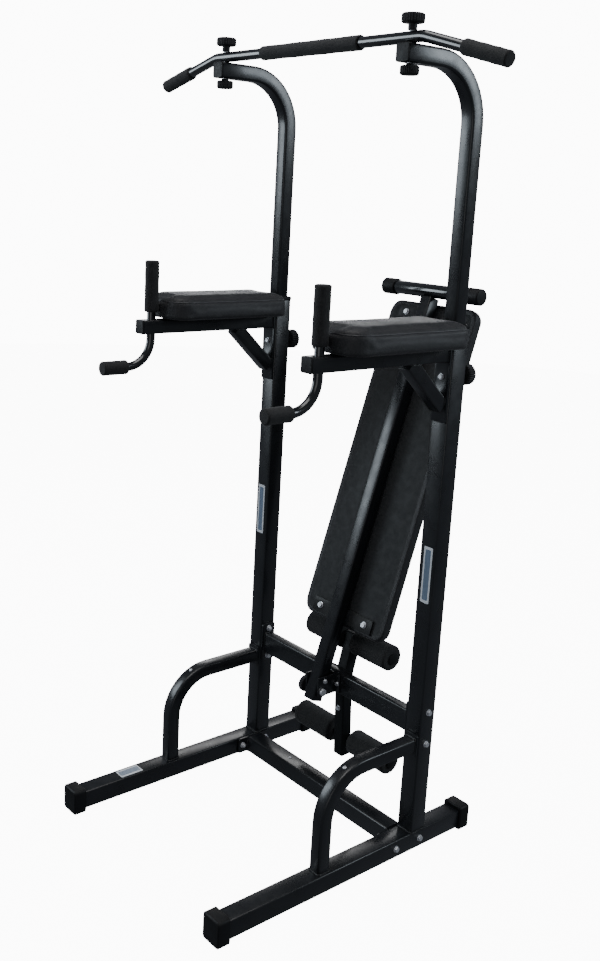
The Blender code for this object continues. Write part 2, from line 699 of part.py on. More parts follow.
def build_bench():
    outline = rect(BENCH_W, BENCH_W, TUBE_R)
    low = (0, PIVOT_Y, PIVOT_Z - BENCH_TAIL)
    high = (0, PIVOT_Y, PIVOT_Z + TBAR_AT - TBAR_D / 2 - GAP)
    body = make("bench_tube", lean(bar(outline, low, high)), PAINT)
    back = PIVOT_Y + BENCH_W / 2
    for at, tag in zip(BENCH_BOLT_AT, ("low", "high")):
        z = PIVOT_Z + at
        low_z = z - BENCH_PLATE_HALF
        high_z = z + BENCH_PLATE_HALF
        plate = box(-BENCH_PLATE_X, BENCH_PLATE_X, back - 0.001, back + BENCH_PLATE_T, low_z, high_z)
        boolean(body, "UNION", cutter(f"bench_plate_{tag}", lean(plate)))
    hole_d = PIVOT_D + 2 * GAP
    hole = turned([(hole_d, 0), (hole_d, 0.08)], (-0.04, PIVOT_Y, PIVOT_Z), (1, 0, 0))
    boolean(body, "DIFFERENCE", cutter("bench_pivot_hole", lean(hole)))
    saddle_d = TBAR_D + 2 * GAP
    at_z = PIVOT_Z + TBAR_AT
    saddle = turned([(saddle_d, 0), (saddle_d, 0.1)], (-0.05, PIVOT_Y, at_z), (1, 0, 0))
    boolean(body, "DIFFERENCE", cutter("bench_saddle", lean(saddle)))
    build_tbar(at_z)
    y0 = back + BENCH_PLATE_T + GAP
    z0 = PIVOT_Z + BENCH_PAD_AT[0]
    z1 = PIVOT_Z + BENCH_PAD_AT[1]
    shape = pad_outline(2 * BENCH_PAD_X, z1 - z0, BENCH_PAD_CORNER, BENCH_PAD_CORNER)
    pad = slab(shape, 0, -(z0 + z1) / 2, y0, y0 + BENCH_PAD_T, 0.008)
    turn = Matrix(((1, 0, 0), (0, 0, 1), (0, -1, 0)))
    bmesh.ops.transform(pad, matrix=turn.to_4x4(), verts=pad.verts)
    make("bench_pad", lean(pad), VINYL)


def build_tbar(z):
    ends = [(TBAR_D, -TBAR_HALF), (TBAR_D, TBAR_HALF)]
    make("bench_foot_bar", lean(turned(ends, (0, PIVOT_Y, z), (1, 0, 0))), PAINT)
    for sign, tag in ((-1, "left"), (1, "right")):
        start = sign * (TBAR_HALF - TCAP_GRIP)
        length = TCAP_HALF - TBAR_HALF + TCAP_GRIP
        steps = [(TCAP_D - 0.003, 0), (TCAP_D, 0.0015), (TCAP_D, length - 0.003), (TCAP_D - 0.006, length)]
        cap = make(f"bench_foot_cap_{tag}", lean(turned(steps, (start, PIVOT_Y, z), (sign, 0, 0))), PLASTIC)
        d = TBAR_D + 2 * GAP
        pocket = turned([(d, 0), (d, 0.03 + TCAP_GRIP + GAP)], (start - sign * 0.03, PIVOT_Y, z), (sign, 0, 0))
        boolean(cap, "DIFFERENCE", cutter(f"cut_foot_cap_{tag}", lean(pocket)))


def build_pivot():
    """Pivot bolt through the bracket ears, with a round knob screwed on its left end."""
    face = BENCH_W / 2 + EAR_CLEAR + EAR_T
    head = face + GAP
    steps = [(PIVOT_D, -face - 0.017), (PIVOT_D, head), (PIVOT_HEAD_D, head), (PIVOT_HEAD_D, face + PIVOT_HEAD_T)]
    make("pivot_bolt", turned(steps, (0, PIVOT_Y, PIVOT_Z), (1, 0, 0), 24), ZINC)
    body = knob((-face - 0.001, PIVOT_Y, PIVOT_Z), (-1, 0, 0), 0.050, 0.016, 0.020, 0.006)
    grip = make("bench_knob", body, PLASTIC)
    d = PIVOT_D + 2 * GAP
    hole = turned([(d, 0), (d, 0.0275)], (-face + 0.010, PIVOT_Y, PIVOT_Z), (-1, 0, 0), 24)
    boolean(grip, "DIFFERENCE", cutter("bench_knob_bore", hole))


# ---------------------------------------------------------------- leg-hook post and rollers


def build_hook_post():
    path = [(0, *HOOK_LOW), (0, *HOOK_MID[0]), (0, *HOOK_MID[1]), (0, *HOOK_TOP)]
    outline = rect(HOOK_W, HOOK_W, TUBE_R)
    post = make("hook_post", swept(outline, path, (1, 0, 0)), PAINT)
    wide, tall = HOOK_PLATE
    plate = box(-wide, wide, MID_D / 2 + GAP, HOOK_MID[0][0] - 0.012, MID_Z - tall, MID_Z + tall)
    boolean(post, "UNION", cutter("hook_plate", plate))
    for (y, z), tag in ((UPPER_AXLE, "upper"), (LOWER_AXLE, "lower")):
        d = AXLE_D + 2 * GAP
        hole = turned([(d, 0), (d, 0.08)], (-0.04, y, z), (1, 0, 0), 24)
        boolean(post, "DIFFERENCE", cutter(f"axle_hole_{tag}", hole))
    build_post_cap("hook_post_cap_top", HOOK_TOP, HOOK_MID[1])
    build_post_cap("hook_post_cap_low", HOOK_LOW, HOOK_MID[0])
    build_axle("upper", UPPER_AXLE, UPPER_HALF, UPPER_IN)
    build_axle("lower", LOWER_AXLE, LOWER_HALF, LOWER_IN)


def build_post_cap(name, end, inner):
    """A thin plastic plug closing one end of the leg-hook post."""
    run = (Vector((0, *end)) - Vector((0, *inner))).normalized()
    a = Vector((0, *end)) + run * GAP
    b = Vector((0, *end)) + run * PLUG_T
    make(name, bar(rect(HOOK_W, HOOK_W, TUBE_R), a, b, (1, 0, 0), 0.001), PLASTIC)


def build_axle(tag, at, half, inner):
    y, z = at
    shank = half - AXLE_HEAD_T
    steps = [
        (AXLE_HEAD_D, -half), (AXLE_HEAD_D, -shank), (AXLE_D, -shank),
        (AXLE_D, shank), (AXLE_HEAD_D, shank), (AXLE_HEAD_D, half),
    ]
    make(f"roller_axle_{tag}", turned(steps, (0, y, z), (1, 0, 0), 24), PLASTIC)
    for sign, side in ((-1, "left"), (1, "right")):
        outer = shank - GAP
        a = (sign * inner, y, z)
        b = (sign * outer, y, z)
        body = ring_body(ROLLER_D, ROLLER_BORE, a, b, 0.006, 32)
        make(f"roller_{tag}_{side}", body, FOAM)


# ---------------------------------------------------------------- assembly

for side_tag, side_x in (("left", -HALF_SPAN), ("right", HALF_SPAN)):
    build_foot(side_tag, side_x)
    build_upright(side_tag, side_x)
    build_handrail(side_tag, side_x)
    build_lock_knob(side_tag, side_x)
    build_gooseneck(side_tag, side_x)
    build_clamp(side_tag, side_x)
    build_armrest(side_tag, side_x)
build_base_bar()
build_mid_bar()
build_bench_bracket()
build_pullup_bar()
build_bench()
build_pivot()
build_hook_post()
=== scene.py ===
import math

import bmesh
import bpy
from mathutils import Matrix, Vector
from mathutils.bvhtree import BVHTree
from mathutils.kdtree import KDTree


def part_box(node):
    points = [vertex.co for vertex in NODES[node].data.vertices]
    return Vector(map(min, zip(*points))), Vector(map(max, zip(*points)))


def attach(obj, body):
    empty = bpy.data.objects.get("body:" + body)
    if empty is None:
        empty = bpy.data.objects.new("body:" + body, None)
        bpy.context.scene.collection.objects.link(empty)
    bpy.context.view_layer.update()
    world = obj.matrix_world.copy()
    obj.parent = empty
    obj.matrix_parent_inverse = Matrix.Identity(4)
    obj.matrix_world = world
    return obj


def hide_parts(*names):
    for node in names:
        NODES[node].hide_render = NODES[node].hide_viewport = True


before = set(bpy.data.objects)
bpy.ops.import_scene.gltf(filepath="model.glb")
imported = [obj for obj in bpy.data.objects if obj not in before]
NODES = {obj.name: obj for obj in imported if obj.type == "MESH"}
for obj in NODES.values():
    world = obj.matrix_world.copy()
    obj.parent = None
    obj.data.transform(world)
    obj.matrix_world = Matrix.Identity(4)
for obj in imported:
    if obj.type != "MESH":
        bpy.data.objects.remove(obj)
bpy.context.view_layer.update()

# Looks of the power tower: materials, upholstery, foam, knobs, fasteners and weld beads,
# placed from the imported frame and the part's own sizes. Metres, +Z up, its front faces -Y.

SIDES = (("left", -1), ("right", 1))
X = Vector((1, 0, 0))
Y = Vector((0, 1, 0))
Z = Vector((0, 0, 1))


def middle(node):
    """The centre of a CAD node's box."""
    low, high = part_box(node)
    return (low + high) / 2


def width(node, axis):
    """The size of a CAD node's box along an axis: 0, 1 or 2 for X, Y or Z."""
    low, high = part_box(node)
    return high[axis] - low[axis]


def ends(node, axis):
    """The centres of the low and the high face of a CAD node's box, square to an axis."""
    low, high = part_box(node)
    a = (low + high) / 2
    b = a.copy()
    a[axis] = low[axis]
    b[axis] = high[axis]
    return a, b


# ---------------------------------------------------------------- places and sizes

POST_X = middle("upright_right").x  # centre plane to each upright's axis
POST_W = width("upright_right", 0)
POST_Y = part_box("upright_right")[0].y + POST_W / 2  # the plane of the two uprights
FOOT_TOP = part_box("foot_right")[1].z
PLATE_FACE = POST_Y - POST_W / 2 - 0.0053  # front of the plates on the uprights
BASE_BAR = middle("base_crossbar")
BASE_BAR_W = 0.050
MID_BAR = middle("mid_crossbar")
MID_BAR_SIZE = (0.030, 0.060)
BAR_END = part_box("mid_crossbar")[1].x  # both crossbars end here, in a flange
FLANGE_T = 0.005

LEAN = math.radians(17.5)  # the folded bench leans back this much
TBAR_AT = 1.141  # pivot to foot bar, along the bench
FOOT_BAR = Vector((0.0, middle("bench_foot_bar").y, middle("bench_foot_bar").z))
PIVOT = FOOT_BAR - TBAR_AT * Vector((0.0, math.sin(LEAN), math.cos(LEAN)))
BENCH = Matrix.Translation(PIVOT) @ Matrix.Rotation(-LEAN, 4, "X")
PLATE_FROM = 0.029  # the bench plates stick out past this, either side of the centre

ARM_W = 0.036  # the armrests' tubes and braces
ARM_Z = 1.3195
BRACE_HIGH = (0.1376, 0.0314)  # the brace's upper end: in front of the uprights, length of its cut
BRACE_LOW = (1.2075, 0.0182)  # its lower end: height, length of its cut

RAIL_W = 0.038
RAIL_CORNER = 0.007
RAIL_PLATE_Z = 0.309
RAIL_BEND = Vector((0, -0.04075, 0.189))  # the handrails' bend: its centre and outer radius
RAIL_OUTSIDE = 0.139
SCREW_AT = math.radians(66)  # round the bend from level
BASE_SCREW_X = -0.125

BAR_SLOPE = math.atan2(0.059, 0.223)  # the pull-up bar's ends turn down this much
BAR_BORE = 0.0256  # bores of the foam over the bar, the handles and the roller axles
HANDLE_BORE = 0.0231
ROLLER_BORE = 0.0168
GRIP_END = 0.0077  # foam past the end of the tube inside it

# ---------------------------------------------------------------- node materials

NOISE_SPAN = (0.3, 0.7)  # where most of a noise texture's values lie
COAT_BLACK = (0.009, 0.010, 0.012)
BLEND = 0.002  # how far one finish blends into the next


class Graph:
    """A Principled material with helpers that add texture nodes to it."""

    def __init__(self, name, color, metallic=0.0):
        self.mat = bpy.data.materials.new(name)
        self.mat.use_nodes = True
        self.tree = self.mat.node_tree
        self.shader = self.tree.nodes["Principled BSDF"]
        self.shader.inputs["Base Color"].default_value = (*color, 1.0)
        self.shader.inputs["Metallic"].default_value = metallic
        self.mat.diffuse_color = (*color, 1.0)
        self.space = self.tree.nodes.new("ShaderNodeTexCoord").outputs["Object"]
        self.normal = None

    def set(self, **values):
        for key, value in values.items():
            self.shader.inputs[key.replace("_", " ")].default_value = value

    def texture(self, kind, scale, output, **settings):
        node = self.tree.nodes.new(kind)
        self.tree.links.new(self.space, node.inputs["Vector"])
        node.inputs["Scale"].default_value = scale
        for key, value in settings.items():
            if key in node.inputs:
                node.inputs[key].default_value = value
            else:
                setattr(node, key, value)
        return node.outputs[output]

    def noise(self, scale, detail=3.0, rough=0.55):
        return self.texture("ShaderNodeTexNoise", scale, "Fac", Detail=detail, Roughness=rough)

    def cells(self, scale, feature="F1"):
        return self.texture("ShaderNodeTexVoronoi", scale, "Distance", feature=feature)

    def mapped(self, value, low, high, to_low, to_high):
        node = self.tree.nodes.new("ShaderNodeMapRange")
        self.tree.links.new(value, node.inputs["Value"])
        pairs = zip(("From Min", "From Max", "To Min", "To Max"), (low, high, to_low, to_high))
        for key, number in pairs:
            node.inputs[key].default_value = number
        return node.outputs["Result"]

    def math(self, kind, *values):
        node = self.tree.nodes.new("ShaderNodeMath")
        node.operation = kind
        for socket, value in zip(node.inputs, values):
            if isinstance(value, (int, float)):
                socket.default_value = value
            else:
                self.tree.links.new(value, socket)
        return node.outputs[0]

    def beyond(self, limit):
        """1 where the surface lies further than limit from the centre plane x = 0, else 0."""
        split = self.tree.nodes.new("ShaderNodeSeparateXYZ")
        self.tree.links.new(self.space, split.inputs["Vector"])
        away = self.math("ABSOLUTE", split.outputs["X"])
        return self.mapped(away, limit, limit + BLEND, 0.0, 1.0)

    def roughness(self, value, low, high):
        rough = self.mapped(value, *NOISE_SPAN, low, high)
        self.tree.links.new(rough, self.shader.inputs["Roughness"])

    def colors(self, value, dark, light, span=NOISE_SPAN):
        ramp = self.tree.nodes.new("ShaderNodeValToRGB")
        for element, position, color in zip(ramp.color_ramp.elements, span, (dark, light)):
            element.position = position
            element.color = (*color, 1.0)
        self.tree.links.new(value, ramp.inputs["Fac"])
        self.tree.links.new(ramp.outputs["Color"], self.shader.inputs["Base Color"])

    def bump(self, height, strength, distance):
        node = self.tree.nodes.new("ShaderNodeBump")
        node.inputs["Strength"].default_value = strength
        node.inputs["Distance"].default_value = distance
        self.tree.links.new(height, node.inputs["Height"])
        if self.normal is not None:
            self.tree.links.new(self.normal, node.inputs["Normal"])
        self.normal = node.outputs["Normal"]
        self.tree.links.new(self.normal, self.shader.inputs["Normal"])


def powder_coat():
    """Semi-gloss black powder coat with faint orange peel and handling haze."""
    g = Graph("powder_coat", COAT_BLACK)
    g.set(IOR=1.52, Coat_Weight=0.25, Coat_Roughness=0.20)
    g.roughness(g.noise(26.0, 4.0), 0.24, 0.36)
    g.colors(g.noise(9.0, 2.0), (0.007, 0.008, 0.010), (0.012, 0.013, 0.015))
    g.bump(g.noise(420.0, 2.0), 0.10, 0.0004)
    return g.mat


def gloss_coat():
    """Glossier black on the round bars, polished by hands."""
    g = Graph("gloss_coat", (0.008, 0.009, 0.011))
    g.set(IOR=1.55, Coat_Weight=0.8, Coat_Roughness=0.05)
    g.roughness(g.noise(40.0, 4.0), 0.16, 0.26)
    g.bump(g.noise(300.0, 2.0), 0.05, 0.0003)
    return g.mat


def bench_coat():
    """Powder coat on the bench tube, flatter and darker on the plates beside it."""
    flatter = 0.42  # added to the roughness of the plates
    g = Graph("bench_coat", COAT_BLACK)
    g.set(IOR=1.52, Coat_Weight=0.10, Coat_Roughness=0.20)
    plate = g.beyond(PLATE_FROM)
    g.colors(plate, COAT_BLACK, (0.006, 0.0065, 0.007), (0.0, 1.0))
    tube_rough = g.mapped(g.noise(26.0, 4.0), *NOISE_SPAN, 0.24, 0.36)
    rough = g.math("MULTIPLY_ADD", plate, flatter, tube_rough)
    g.tree.links.new(rough, g.shader.inputs["Roughness"])
    g.bump(g.noise(420.0, 2.0), 0.10, 0.0004)
    return g.mat


def satin_coat():
    """The flatter black of the hook post."""
    g = Graph("satin_coat", (0.008, 0.009, 0.010))
    g.set(IOR=1.45, Specular_IOR_Level=0.3)
    g.roughness(g.noise(60.0, 4.0), 0.60, 0.78)
    g.bump(g.noise(420.0, 2.0), 0.12, 0.0004)
    return g.mat


def moulded_plastic(name, color):
    """Injection-moulded black plastic with a fine spark-eroded grain."""
    g = Graph(name, color)
    g.set(IOR=1.46, Specular_IOR_Level=0.32)
    g.roughness(g.noise(60.0, 3.0), 0.46, 0.62)
    g.bump(g.noise(1500.0, 2.0, 0.7), 0.22, 0.0003)
    return g.mat


def closed_cell_foam():
    """Matte rubber foam: pores, a soft skin and slightly dusty highs."""
    g = Graph("closed_cell_foam", (0.016, 0.016, 0.017))
    g.set(IOR=1.4, Sheen_Weight=0.10, Sheen_Roughness=0.6)
    g.roughness(g.noise(80.0, 3.0), 0.82, 0.95)
    g.colors(g.noise(180.0, 5.0, 0.7), (0.011, 0.011, 0.012), (0.022, 0.022, 0.023))
    g.bump(g.cells(620.0), 0.45, 0.0006)
    g.bump(g.noise(90.0, 3.0), 0.25, 0.0008)
    return g.mat


def grained_vinyl():
    """Upholstery vinyl with pebble grain and softly worn sheen."""
    g = Graph("grained_vinyl", (0.014, 0.014, 0.016))
    g.set(IOR=1.48, Sheen_Weight=0.12, Sheen_Roughness=0.45)
    g.roughness(g.noise(16.0, 4.0), 0.40, 0.55)
    g.colors(g.noise(34.0, 3.0), (0.011, 0.011, 0.013), (0.018, 0.018, 0.020))
    pebbles = g.mapped(g.cells(520.0, "DISTANCE_TO_EDGE"), 0.0, 0.16, 0.0, 1.0)
    g.bump(pebbles, 0.55, 0.0003)
    g.bump(g.noise(1400.0, 2.0), 0.2, 0.0001)
    return g.mat


def welt_vinyl_painted_highlight():
    """The same vinyl wrapped round a cord, smoother; its paler colour, in soft patches, is a painted
    highlight along the cord.
    """
    # painted highlight: this paler base colour and its patches stand in for the light that the round cord
    # catches
    g = Graph("welt_vinyl_painted_highlight", (0.040, 0.040, 0.043))
    g.set(IOR=1.5)
    g.roughness(g.noise(30.0, 4.0), 0.34, 0.50)
    g.colors(g.noise(60.0, 3.0), (0.030, 0.030, 0.033), (0.055, 0.055, 0.058))
    g.bump(g.noise(900.0, 2.0), 0.2, 0.0001)
    return g.mat


def backing_board():
    """Black non-woven cover under each pad."""
    g = Graph("backing_board", (0.012, 0.013, 0.014))
    g.set(Sheen_Weight=0.08, Sheen_Roughness=0.5)
    g.roughness(g.noise(50.0, 3.0), 0.66, 0.84)
    g.colors(g.noise(260.0, 4.0, 0.7), (0.009, 0.010, 0.011), (0.017, 0.019, 0.021))
    g.bump(g.noise(900.0, 4.0, 0.7), 0.35, 0.0004)
    return g.mat


def zinc_plate():
    """Bright zinc plating with fine tool marks."""
    g = Graph("zinc_plate", (0.85, 0.86, 0.88), 0.75)
    g.roughness(g.noise(500.0, 3.0), 0.34, 0.50)
    g.colors(g.noise(240.0, 2.0), (0.76, 0.77, 0.80), (0.90, 0.91, 0.93))
    g.bump(g.noise(1200.0, 2.0), 0.15, 0.0001)
    return g.mat


def plain_label(name, color):
    """A blank vinyl label with a faint print texture."""
    g = Graph(name, color)
    g.set(Coat_Weight=0.3, Coat_Roughness=0.2)
    g.roughness(g.noise(120.0, 3.0), 0.30, 0.42)
    g.bump(g.noise(400.0, 2.0), 0.05, 0.0002)
    return g.mat


PAINT = powder_coat()
GLOSS = gloss_coat()
BENCH_COAT = bench_coat()
SATIN = satin_coat()
PLASTIC = moulded_plastic("moulded_plastic", (0.008, 0.008, 0.009))
KNOB = moulded_plastic("knob_plastic", (0.019, 0.019, 0.021))
FOAM = closed_cell_foam()
VINYL = grained_vinyl()
# paler vinyl of the welts and the backing's edge cords: a painted highlight
WELT = welt_vinyl_painted_highlight()
BOARD = backing_board()
ZINC = zinc_plate()
LABEL_PALE = plain_label("label_pale", (0.80, 0.83, 0.87))
LABEL_BLUE = plain_label("label_blue", (0.17, 0.23, 0.32))

# ---------------------------------------------------------------- carried-over CAD nodes

MERGED = 0.00002  # points of a faceted solid closer than this are one
SMOOTH_BELOW = math.radians(32)  # facets that meet at less are shaded as one face
EASED = 0.0007  # how far a carried-over solid's sharp edges are rounded
EASED_ABOVE = math.radians(40)


def crisp_normals():
    """A modifier group that welds a faceted solid and shades it smooth except at its edges."""
    tree = bpy.data.node_groups.new("crisp_normals", "GeometryNodeTree")
    tree.interface.new_socket("Geometry", in_out="INPUT", socket_type="NodeSocketGeometry")
    tree.interface.new_socket("Geometry", in_out="OUTPUT", socket_type="NodeSocketGeometry")
    start = tree.nodes.new("NodeGroupInput")
    merge = tree.nodes.new("GeometryNodeMergeByDistance")
    merge.inputs["Distance"].default_value = MERGED
    angle = tree.nodes.new("GeometryNodeInputMeshEdgeAngle")
    sharp = tree.nodes.new("FunctionNodeCompare")
    sharp.data_type = "FLOAT"
    sharp.operation = "GREATER_THAN"
    sharp.inputs["B"].default_value = SMOOTH_BELOW
    shade = tree.nodes.new("GeometryNodeSetMeshNormal")
    shade.inputs["Remove Custom"].default_value = True
    end = tree.nodes.new("NodeGroupOutput")
    tree.links.new(start.outputs[0], merge.inputs["Geometry"])
    tree.links.new(merge.outputs["Geometry"], shade.inputs["Mesh"])
    tree.links.new(angle.outputs["Unsigned Angle"], sharp.inputs["A"])
    tree.links.new(sharp.outputs["Result"], shade.inputs["Edge Sharpness"])
    tree.links.new(shade.outputs["Mesh"], end.inputs[0])
    return tree


def finish_node(obj, crisp_group):
    """Rounds the sharp edges of a carried-over CAD solid and smooths its round faces."""
    weld_points = obj.modifiers.new("weld", "WELD")
    weld_points.merge_threshold = MERGED
    ease = obj.modifiers.new("ease", "BEVEL")
    ease.width = EASED
    ease.segments = 2
    ease.limit_method = "ANGLE"
    ease.angle_limit = EASED_ABOVE
    crisp = obj.modifiers.new("crisp", "NODES")
    crisp.node_group = crisp_group


def material_of(name):
    """The material of a carried-over CAD node, from its name."""
    if name in ("pullup_bar", "bench_foot_bar") or name.startswith("handle_"):
        return GLOSS
    if name.startswith("clamp_stud") or name == "pivot_bolt":
        return ZINC
    if name == "hook_post":
        return SATIN
    if name == "bench_tube":
        return BENCH_COAT
    if "knob" in name:
        return KNOB
    if any(word in name for word in ("cap", "plug", "sleeve", "axle")):
        return PLASTIC
    if "foam" in name or name.startswith("roller_"):
        return FOAM
    if name.endswith("pad") or "_pad_" in name:
        return VINYL
    return PAINT


def finish_nodes():
    crisp_group = crisp_normals()
    for name, obj in NODES.items():
        obj.data.materials.clear()
        obj.data.materials.append(material_of(name))
        finish_node(obj, crisp_group)


# ---------------------------------------------------------------- mesh helpers


def linked(name, data):
    """A new object in the scene that holds a mesh, a light or a camera."""
    obj = bpy.data.objects.new(name, data)
    bpy.context.scene.collection.objects.link(obj)
    return obj


def mesh_of(name, bm, mat):
    """A mesh made from a bmesh, which is freed."""
    mesh = bpy.data.meshes.new(name)
    bm.to_mesh(mesh)
    bm.free()
    mesh.materials.append(mat)
    return mesh


def add(name, bm, mat, body, smooth=35):
    """Adds a mesh as one piece that rides on a CAD body; edges over smooth degrees stay sharp."""
    bmesh.ops.recalc_face_normals(bm, faces=bm.faces)
    mesh = mesh_of(name, bm, mat)
    if smooth:
        mesh.shade_smooth()
        mesh.set_sharp_from_angle(angle=math.radians(smooth))
    obj = linked(name, mesh)
    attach(obj, body)
    return obj


def axes_for(run):
    """Two directions square to run."""
    run = Vector(run).normalized()
    other = Z if abs(run.z) < 0.9 else X
    u = other.cross(run).normalized()
    return u, run.cross(u)


def skin(bm, rings, closed=False):
    """Joins rings of points; open ends are capped."""
    made = [[bm.verts.new(p) for p in ring] for ring in rings]
    count = len(made[0])
    pairs = list(zip(made, made[1:]))
    if closed:
        pairs.append((made[-1], made[0]))
    for a, b in pairs:
        for i in range(count):
            j = (i + 1) % count
            bm.faces.new((a[i], a[j], b[j], b[i]))
    if not closed:
        bm.faces.new(list(reversed(made[0])))
        bm.faces.new(made[-1])


def circle(centre, u, v, radius, sides):
    """A ring of points round a centre, in the plane of u and v."""
    ring = []
    for i in range(sides):
        a = 2 * math.pi * i / sides
        ring.append(centre + (u * math.cos(a) + v * math.sin(a)) * radius)
    return ring


def turn(bm, profile, origin, axis, seg=48, shape=None, closed=False):
    """Turns (radius, height) pairs about an axis; shape(angle, radius) may vary the radius."""
    origin = Vector(origin)
    run = Vector(axis).normalized()
    u, v = axes_for(run)
    rings = []
    for radius, height in profile:
        ring = []
        for i in range(seg):
            a = 2 * math.pi * i / seg
            r = shape(a, radius) if shape else radius
            ring.append(origin + run * height + (u * math.cos(a) + v * math.sin(a)) * r)
        rings.append(ring)
    skin(bm, rings, closed)


def quarter(steps):
    """Angles from 0 to 90 degrees, in radians."""
    return [math.pi / 2 * i / steps for i in range(steps + 1)]


def rounded(radius, length, edge, steps=5):
    """The half-outline of a cylinder with rounded end edges, as (radius, height) pairs."""
    points = []
    for a in quarter(steps):
        points.append((radius - edge + edge * math.sin(a), edge - edge * math.cos(a)))
    return points + [(r, length - h) for r, h in reversed(points)]


def square(centre, u, v, w, h, corner=0.005):
    """A loop of points round a rounded rectangle in space."""
    steps = 4
    centre = Vector(centre)
    points = []
    for sx, sy, start in ((1, 1, 0), (-1, 1, 90), (-1, -1, 180), (1, -1, 270)):
        for i in range(steps + 1):
            a = math.radians(start + 90 * i / steps)
            x = sx * (w / 2 - corner) + corner * math.cos(a)
            y = sy * (h / 2 - corner) + corner * math.sin(a)
            points.append(centre + u * x + v * y)
    return points


def dense(loop, step):
    """The closed loop with a point about every step."""
    out = []
    for a, b in zip(loop, loop[1:] + loop[:1]):
        count = max(1, int((b - a).length / step))
        out += [a.lerp(b, i / count) for i in range(count)]
    return out


# ---------------------------------------------------------------- foam grips and rollers

FOAM_SIDES = 56
FOAM_STEP = 0.008  # along the foam, between two rings of points
FOAM_LIP = 0.0012  # chamfer at the mouth of a bore
FOAM_SWELL = 0.00025  # half the height of the waves along the foam
FOAM_DENT = 0.00016  # and the unevenness round it
GRIP_EDGE = 0.0045  # radius of the edges of a grip, the middle foam and a roller
SLEEVE_EDGE = 0.003
ROLLER_EDGE = 0.007


def dented(seed):
    """Slow unevenness round the foam, the same each run."""
    def shape(angle, radius):
        wave = math.sin(3 * angle + seed) + 0.6 * math.sin(5 * angle + 2.3 * seed)
        return radius + FOAM_DENT * wave
    return shape


def foam_profile(radius, length, edge, waves):
    """The outline of a foam cylinder that thins and swells in slow waves along its length."""
    points = rounded(radius, length, edge)
    half = len(points) // 2
    count = max(8, int(length / FOAM_STEP))
    run = []
    for i in range(1, count):
        t = i / count
        swell = FOAM_SWELL * (math.sin(waves * math.pi * t) - 1)
        run.append((radius + swell, edge + (length - 2 * edge) * t))
    return points[:half] + run + points[half:]


def foam_sleeve(node, body, span, outer, bore, edge, waves):
    """Foam between two points, with a bore right through it."""
    a, b = span
    length = (b - a).length
    mouth = bore / 2 + FOAM_LIP
    inside = [(bore / 2, length - FOAM_LIP), (bore / 2, FOAM_LIP)]
    profile = [(mouth, 0.0)] + foam_profile(outer / 2, length, edge, waves) + [(mouth, length)] + inside
    name = f"{node}_look"
    bm = bmesh.new()
    turn(bm, profile, a, b - a, FOAM_SIDES, dented(len(name)), closed=True)
    obj = add(name, bm, FOAM, body, 50)
    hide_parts(node)


def grip_piece(node, body, a, b, outer, bore):
    """A foam grip with a rounded closed end at b and a blind bore running in from a."""
    length = (b - a).length
    deep = length - GRIP_END
    corner = 0.0008  # at the bottom of the bore
    bottom = [(corner, deep), (bore / 2, deep - corner)]
    mouth = [(bore / 2, FOAM_LIP), (bore / 2 + FOAM_LIP, 0.0)]
    skin_line = foam_profile(outer / 2, length, GRIP_EDGE, 6)
    bm = bmesh.new()
    turn(bm, bottom + mouth + skin_line + [(0.002, length)], a, b - a, FOAM_SIDES, dented(len(node)))
    obj = add(f"{node}_look", bm, FOAM, body, 50)
    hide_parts(node)


def build_bar_foam():
    node = "bar_foam_centre"
    foam_sleeve(node, "upper_frame", ends(node, 0), width(node, 2), BAR_BORE, SLEEVE_EDGE, 7)


def bar_grip(side, sign):
    """The foam on one sloping end of the pull-up bar."""
    node = f"bar_foam_{side}"
    d = width(node, 1)
    run = Vector((sign * math.cos(BAR_SLOPE), 0, -math.sin(BAR_SLOPE)))
    half = (width(node, 0) - d * math.sin(BAR_SLOPE)) / math.cos(BAR_SLOPE) / 2
    mid = middle(node)
    grip_piece(node, "upper_frame", mid - run * half, mid + run * half, d, BAR_BORE)


def build_grips():
    """The closed foam of the upright grips, the dip handles and the pull-up bar's ends."""
    for side, sign in SIDES:
        upright = f"grip_foam_{side}"
        foot, top = ends(upright, 2)
        grip_piece(upright, "base", foot, top, width(upright, 0), HANDLE_BORE)
        dip = f"dip_foam_{side}"
        front, back = ends(dip, 1)
        grip_piece(dip, "base", back, front, width(dip, 0), HANDLE_BORE)
        bar_grip(side, sign)


def build_rollers():
    for level in ("upper", "lower"):
        for side, _ in SIDES:
            node = f"roller_{level}_{side}"
            foam_sleeve(node, node, ends(node, 0), width(node, 2), ROLLER_BORE, ROLLER_EDGE, 9)


# ---------------------------------------------------------------- fasteners

BIG_HEX = 0.013  # widths across flats
MID_HEX = 0.011
STOP_HEX = 0.010
SMALL_HEX = 0.0095
BOLT_OUT = 0.044  # each flange's two bolts stand this far from the crossbar's axis
BASE_BOLT_RISE = 0.002  # the base flanges' bolts lie this far above that axis
ARM_BOLT_Z = 1.265
STOP_AT = Vector((0.026, 0.009, 0.029))  # the stop bolt on the bracket's right ear, from the pivot
BRACKET_BOLTS = (0.0336, 0.0193)  # from the centre, in front of the uprights' plane
HOOK_BOLTS = (0.0262, 0.0265)  # from the centre, behind the uprights' plane
HOOK_FRONT = Vector((0, POST_Y + 0.0253, 0.254))  # in the front of the hook post
HOOK_FRONT_WAY = (0, -1, 0.05)
PAD_BOLTS = (0.087, 0.0189)  # to the side of the bench's axis, and under its plates
PAD_BOLTS_AT = (("low", 0.215), ("high", 1.078))  # along the bench


def hexagon(angle, radius):
    """How far a hexagon's edge is at this angle; radius is the distance to its flats."""
    step = math.pi / 3
    off = (angle + step / 2) % step - step / 2
    return radius / math.cos(off)


